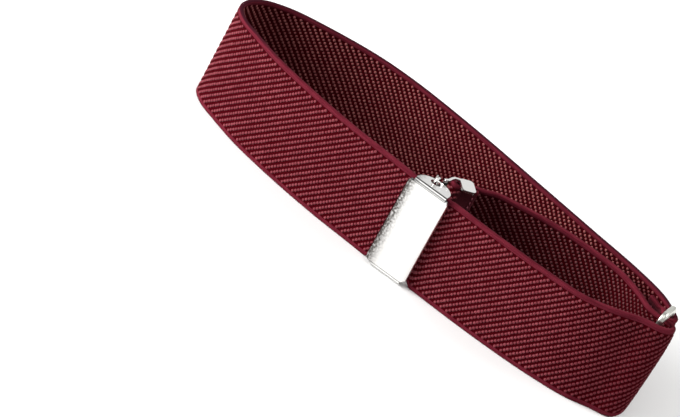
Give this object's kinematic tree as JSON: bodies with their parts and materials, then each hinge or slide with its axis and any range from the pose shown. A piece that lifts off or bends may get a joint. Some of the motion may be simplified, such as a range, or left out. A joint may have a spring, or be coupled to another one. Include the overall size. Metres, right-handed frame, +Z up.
{
  "type": "sleeve garter",
  "caption": "Elastic sleeve garter with a diagonal rib weave, closed by a folding metal adjuster and an oval metal ring.",
  "frame": {"origin": "middle of the footprint, on the surface that the band's lower edge stands on", "axes": "+X along the loop towards the ring, -Y towards the front of the adjuster, +Z up across the band's width"},
  "size_m": [0.127, 0.038, 0.0276],
  "materials": {
    "webbing": "burgundy woven elastic with diagonal ribs and plain selvedges",
    "nickel": "bright nickel plate on stamped sheet steel"
  },
  "bodies": {
    "root": {"elastic_band": "webbing", "adjuster_cover": "nickel", "adjuster_frame": "nickel", "ring": "nickel"}
  },
  "joints": []
}
